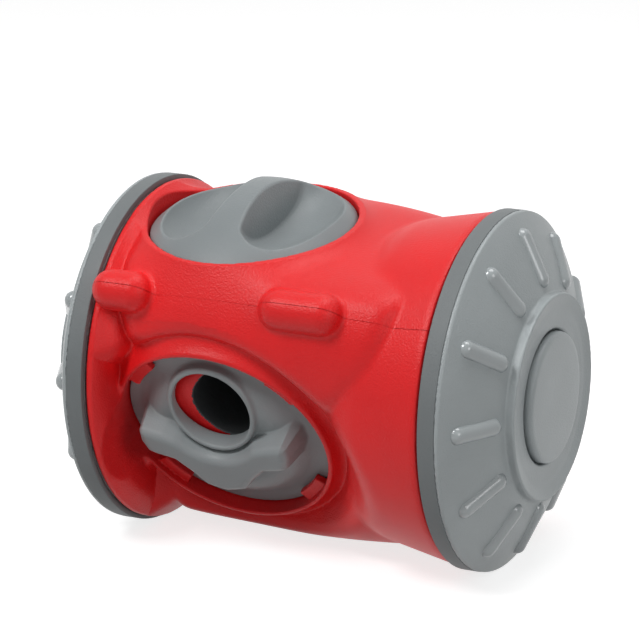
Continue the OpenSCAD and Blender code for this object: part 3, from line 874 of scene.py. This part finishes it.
# Disc from its back, round its soft edge, to a face that swells a little
disc = lathe([
    (0.02, DISC_BACK_X), (0.3, DISC_BACK_X), (DISC_R, DISC_BACK_X),
    (DISC_R, HUB_FACE_X - 1.6), (DISC_R - 0.2, HUB_FACE_X - 0.9), (DISC_R - 0.7, HUB_FACE_X - 0.35),
    (DISC_R - 1.5, HUB_FACE_X - 0.08), (DISC_R - 2.6, HUB_FACE_X),
    (12.0, HUB_FACE_X + 0.1), (0.3, HUB_FACE_X + 0.12), (0.02, HUB_FACE_X + 0.12),
], DISC_SEGMENTS)
for side, sign in (("right", 1.0), ("left", -1.0)):
    for label, (points, quads, normals), material, slot, nodes in (
        ("dome", wheel, grey, "grey_plastic", [f"{side}_wheel"]),
        ("ribs", ribs, gloss_grey, "grey_plastic", []),
        ("tyre", tyre, tread, "tread_rubber", [f"{side}_tyre"]),
        ("disc", disc, grey, "grey_plastic", [f"{side}_hub_cap"]),
    ):
        if sign < 0.0:
            made = put_mesh(f"{side}_{label}", points * FLIP, quads[:, ::-1], normals * FLIP)
        else:
            made = put_mesh(f"{side}_{label}", points, quads, normals)
        dress(made, material, f"{side}_wheel_body", slot, *nodes)

CARRIED = {
    "cap_seal": seal, "shell_screws": dark_and_shade, "port_screws": steel, "keel_weight": iron,
    "weight_screws": steel,
}
for side in ("left", "right"):
    CARRIED.update({
        f"{side}_wheel_back": dark_and_shade, f"{side}_bush": dark_and_shade, f"{side}_axle": steel, f"{side}_washer": steel,
        f"{side}_axle_screw": steel,
    })
for node, material in CARRIED.items():
    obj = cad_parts[node]
    obj.data.materials.clear()
    obj.data.materials.append(material)

# Camera, at the photograph's viewing angle
CAMERA_AT = Vector((503.5, -1055.6, 401.9)) * MM
CAMERA_AIM = Vector((-8.1, 12.6, 82.8)) * MM
LENS = 178.6
SENSOR = 36.0
camera = bpy.data.cameras.new("camera")
camera.lens = LENS
camera.sensor_width = SENSOR
camera.clip_start = 0.05
camera.clip_end = 20.0
eye = bpy.data.objects.new("camera", camera)
eye.location = CAMERA_AT
eye.rotation_euler = (CAMERA_AIM - CAMERA_AT).to_track_quat("-Z", "Y").to_euler()
bpy.context.scene.collection.objects.link(eye)
bpy.context.scene.camera = eye

# Floor and light
FLOOR_HALF = 4.0
floor_mesh = bpy.data.meshes.new("floor")
corner_signs = ((-1, -1), (1, -1), (1, 1), (-1, 1))
floor_corners = [(sx * FLOOR_HALF, sy * FLOOR_HALF, 0.0) for sx, sy in corner_signs]
floor_mesh.from_pydata(floor_corners, [], [(0, 1, 2, 3)])
floor = bpy.data.objects.new("floor", floor_mesh)
bpy.context.scene.collection.objects.link(floor)


def seen_directly(nodes, links):
    """1 for camera, glossy and transmission rays."""
    path = nodes.new("ShaderNodeLightPath")
    first = nodes.new("ShaderNodeMath")
    first.operation = "MAXIMUM"
    second = nodes.new("ShaderNodeMath")
    second.operation = "MAXIMUM"
    links.new(path.outputs["Is Camera Ray"], first.inputs[0])
    links.new(path.outputs["Is Glossy Ray"], first.inputs[1])
    links.new(first.outputs[0], second.inputs[0])
    links.new(path.outputs["Is Transmission Ray"], second.inputs[1])
    return second.outputs[0]


FLOOR_TONE = 0.5
FLOOR_GLOW = 0.76
floor_mat, nodes, links, bsdf = new_material("floor")
bsdf.inputs["Base Color"].default_value = (FLOOR_TONE, FLOOR_TONE, FLOOR_TONE, 1.0)
bsdf.inputs["Roughness"].default_value = 0.9
bsdf.inputs["Specular IOR Level"].default_value = 0.1
glow = nodes.new("ShaderNodeEmission")
power = nodes.new("ShaderNodeMath")
power.operation = "MULTIPLY"
power.inputs[1].default_value = FLOOR_GLOW
links.new(seen_directly(nodes, links), power.inputs[0])
links.new(power.outputs[0], glow.inputs["Strength"])
both = nodes.new("ShaderNodeAddShader")
links.new(bsdf.outputs[0], both.inputs[0])
links.new(glow.outputs[0], both.inputs[1])
links.new(both.outputs[0], nodes["Material Output"].inputs["Surface"])
floor_mesh.materials.append(floor_mat)

AMBIENT = 0.15
world = bpy.data.worlds.new("world")
bpy.context.scene.world = world
world.use_nodes = True
nodes, links = world.node_tree.nodes, world.node_tree.links
back = nodes["Background"]
back.inputs["Color"].default_value = (1.0, 1.0, 1.0, 1.0)
mix = range_node(nodes, AMBIENT, 1.0)
links.new(seen_directly(nodes, links), mix.inputs["Value"])
links.new(mix.outputs["Result"], back.inputs["Strength"])


def lamp(name, at, aim, size, watts):
    data = bpy.data.lights.new(name, "AREA")
    data.shape = "DISK"
    data.size = size
    data.energy = watts
    obj = bpy.data.objects.new(name, data)
    obj.location = at
    obj.rotation_euler = (Vector(aim) - Vector(at)).to_track_quat("-Z", "Y").to_euler()
    bpy.context.scene.collection.objects.link(obj)


MIDDLE = (0.0, 0.0, 0.07)
lamp("key", (-0.5, -0.9, 1.3), MIDDLE, 0.6, 13.5)
lamp("top", (0.2, 0.2, 1.5), MIDDLE, 0.9, 9.0)
lamp("side", (1.3, -0.7, 0.7), MIDDLE, 0.8, 5.0)

bpy.context.scene.view_settings.view_transform = "Standard"
